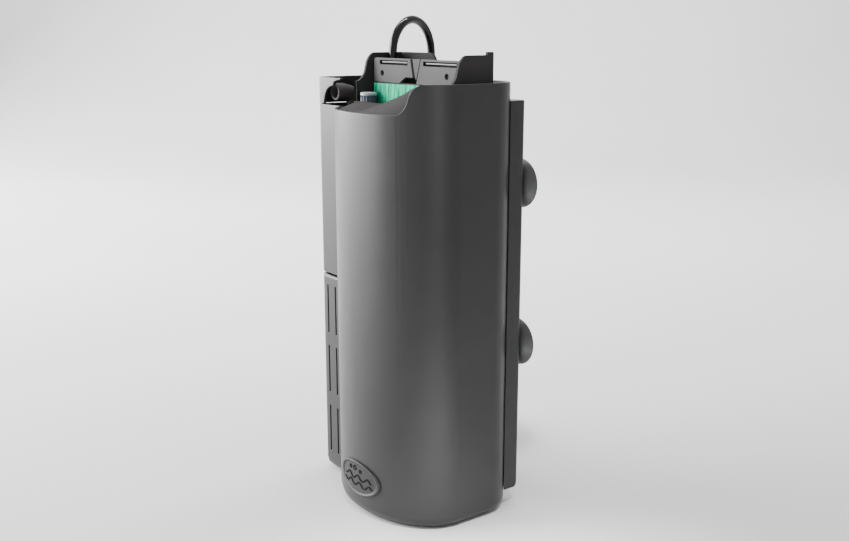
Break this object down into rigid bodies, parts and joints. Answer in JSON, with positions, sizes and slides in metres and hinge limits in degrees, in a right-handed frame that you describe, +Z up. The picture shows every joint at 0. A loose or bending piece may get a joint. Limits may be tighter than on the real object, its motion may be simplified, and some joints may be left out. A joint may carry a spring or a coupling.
{
  "type": "internal aquarium filter",
  "caption": "Tall aquarium filter box with a rounded front, side wing with slotted intake, lift-out fleece cartridge, pump, suction cups and mains lead.",
  "frame": {"origin": "centre of the underside of the filter's bounding box, measured without its cord", "axes": "+Z up along the tall box, -Y towards the rounded front, +Y towards the mounting plate and suction cups, +X to the right seen from the front"},
  "size_m": [0.1703, 0.1848, 0.3214],
  "materials": {
    "graphite_plastic": "satin moulded dark grey",
    "suction_rubber": "smooth dark grey",
    "grey_plastic": "matt mid grey",
    "green_fleece": "soft green fleece",
    "activated_carbon": "black granules in a pouch",
    "filter_foam": "open-pored foam",
    "black_plastic": "satin black",
    "white_plastic": "smooth white",
    "dial_plastic": "translucent blue grey",
    "ferrite": "dark sintered ferrite",
    "ceramic": "polished white",
    "cord_black": "glossy black PVC",
    "plated_pins": "nickel plated"
  },
  "bodies": {
    "housing": {"shell_body": "graphite_plastic", "outlet_cowl": "graphite_plastic", "chamber_insert": "graphite_plastic", "mounting_plate": "graphite_plastic", "badge": "graphite_plastic", "suction_cup_1": "suction_rubber", "suction_cup_2": "suction_rubber", "suction_cup_3": "suction_rubber", "suction_cup_4": "suction_rubber", "pump_body": "black_plastic", "pump_cover": "black_plastic", "inlet_grille": "black_plastic", "impeller_shaft": "ceramic", "bush_front": "suction_rubber", "bush_rear": "suction_rubber", "pump_foot_1": "suction_rubber", "pump_foot_2": "suction_rubber", "pump_foot_3": "suction_rubber", "pump_foot_4": "suction_rubber", "riser_pipe": "black_plastic", "regulator_bracket": "black_plastic", "support_grid": "black_plastic", "media_basket": "black_plastic", "bio_foam": "filter_foam", "cord_gland": "black_plastic", "power_cord": "cord_black", "cord_coil": "cord_black", "cord_tail": "cord_black", "plug_body": "cord_black", "plug_pin_1": "plated_pins", "plug_pin_2": "plated_pins"},
    "cover": {"intake_cover": "graphite_plastic"},
    "cartridge": {"cartridge_frame": "grey_plastic", "fleece_front": "green_fleece", "fleece_rear": "green_fleece", "carbon_pad_left": "activated_carbon", "carbon_pad_right": "activated_carbon", "handle_leaf_left": "grey_plastic", "handle_leaf_right": "grey_plastic", "handle_clasp": "grey_plastic"},
    "dial": {"flow_dial": "dial_plastic"},
    "nozzle": {"outlet_nozzle": "black_plastic"},
    "impeller": {"impeller_wheel": "white_plastic", "rotor_magnet": "ferrite"}
  },
  "joints": [
    {"name": "cartridge_lift", "type": "slide", "parent": "housing", "child": "cartridge", "axis": [0, 0, 1], "range_m": [0, 0.13]},
    {"name": "intake_cover_slide", "type": "slide", "parent": "housing", "child": "cover", "axis": [0, -1, 0], "range_m": [0, 0.06]},
    {"name": "flow_dial_turn", "type": "hinge", "parent": "housing", "child": "dial", "pos_m": [-0.0295, -0.01135, 0.262], "axis": [0, 0, 1], "range_deg": [0, 180]},
    {"name": "nozzle_swivel", "type": "hinge", "parent": "housing", "child": "nozzle", "pos_m": [-0.052, -0.00745, 0.2723], "axis": [0, 0, 1], "range_deg": [-25, 25]},
    {"name": "impeller_spin", "type": "hinge", "parent": "housing", "child": "impeller", "pos_m": [-0.016, 0.00455, 0.026], "axis": [0, 1, 0], "continuous": true}
  ]
}
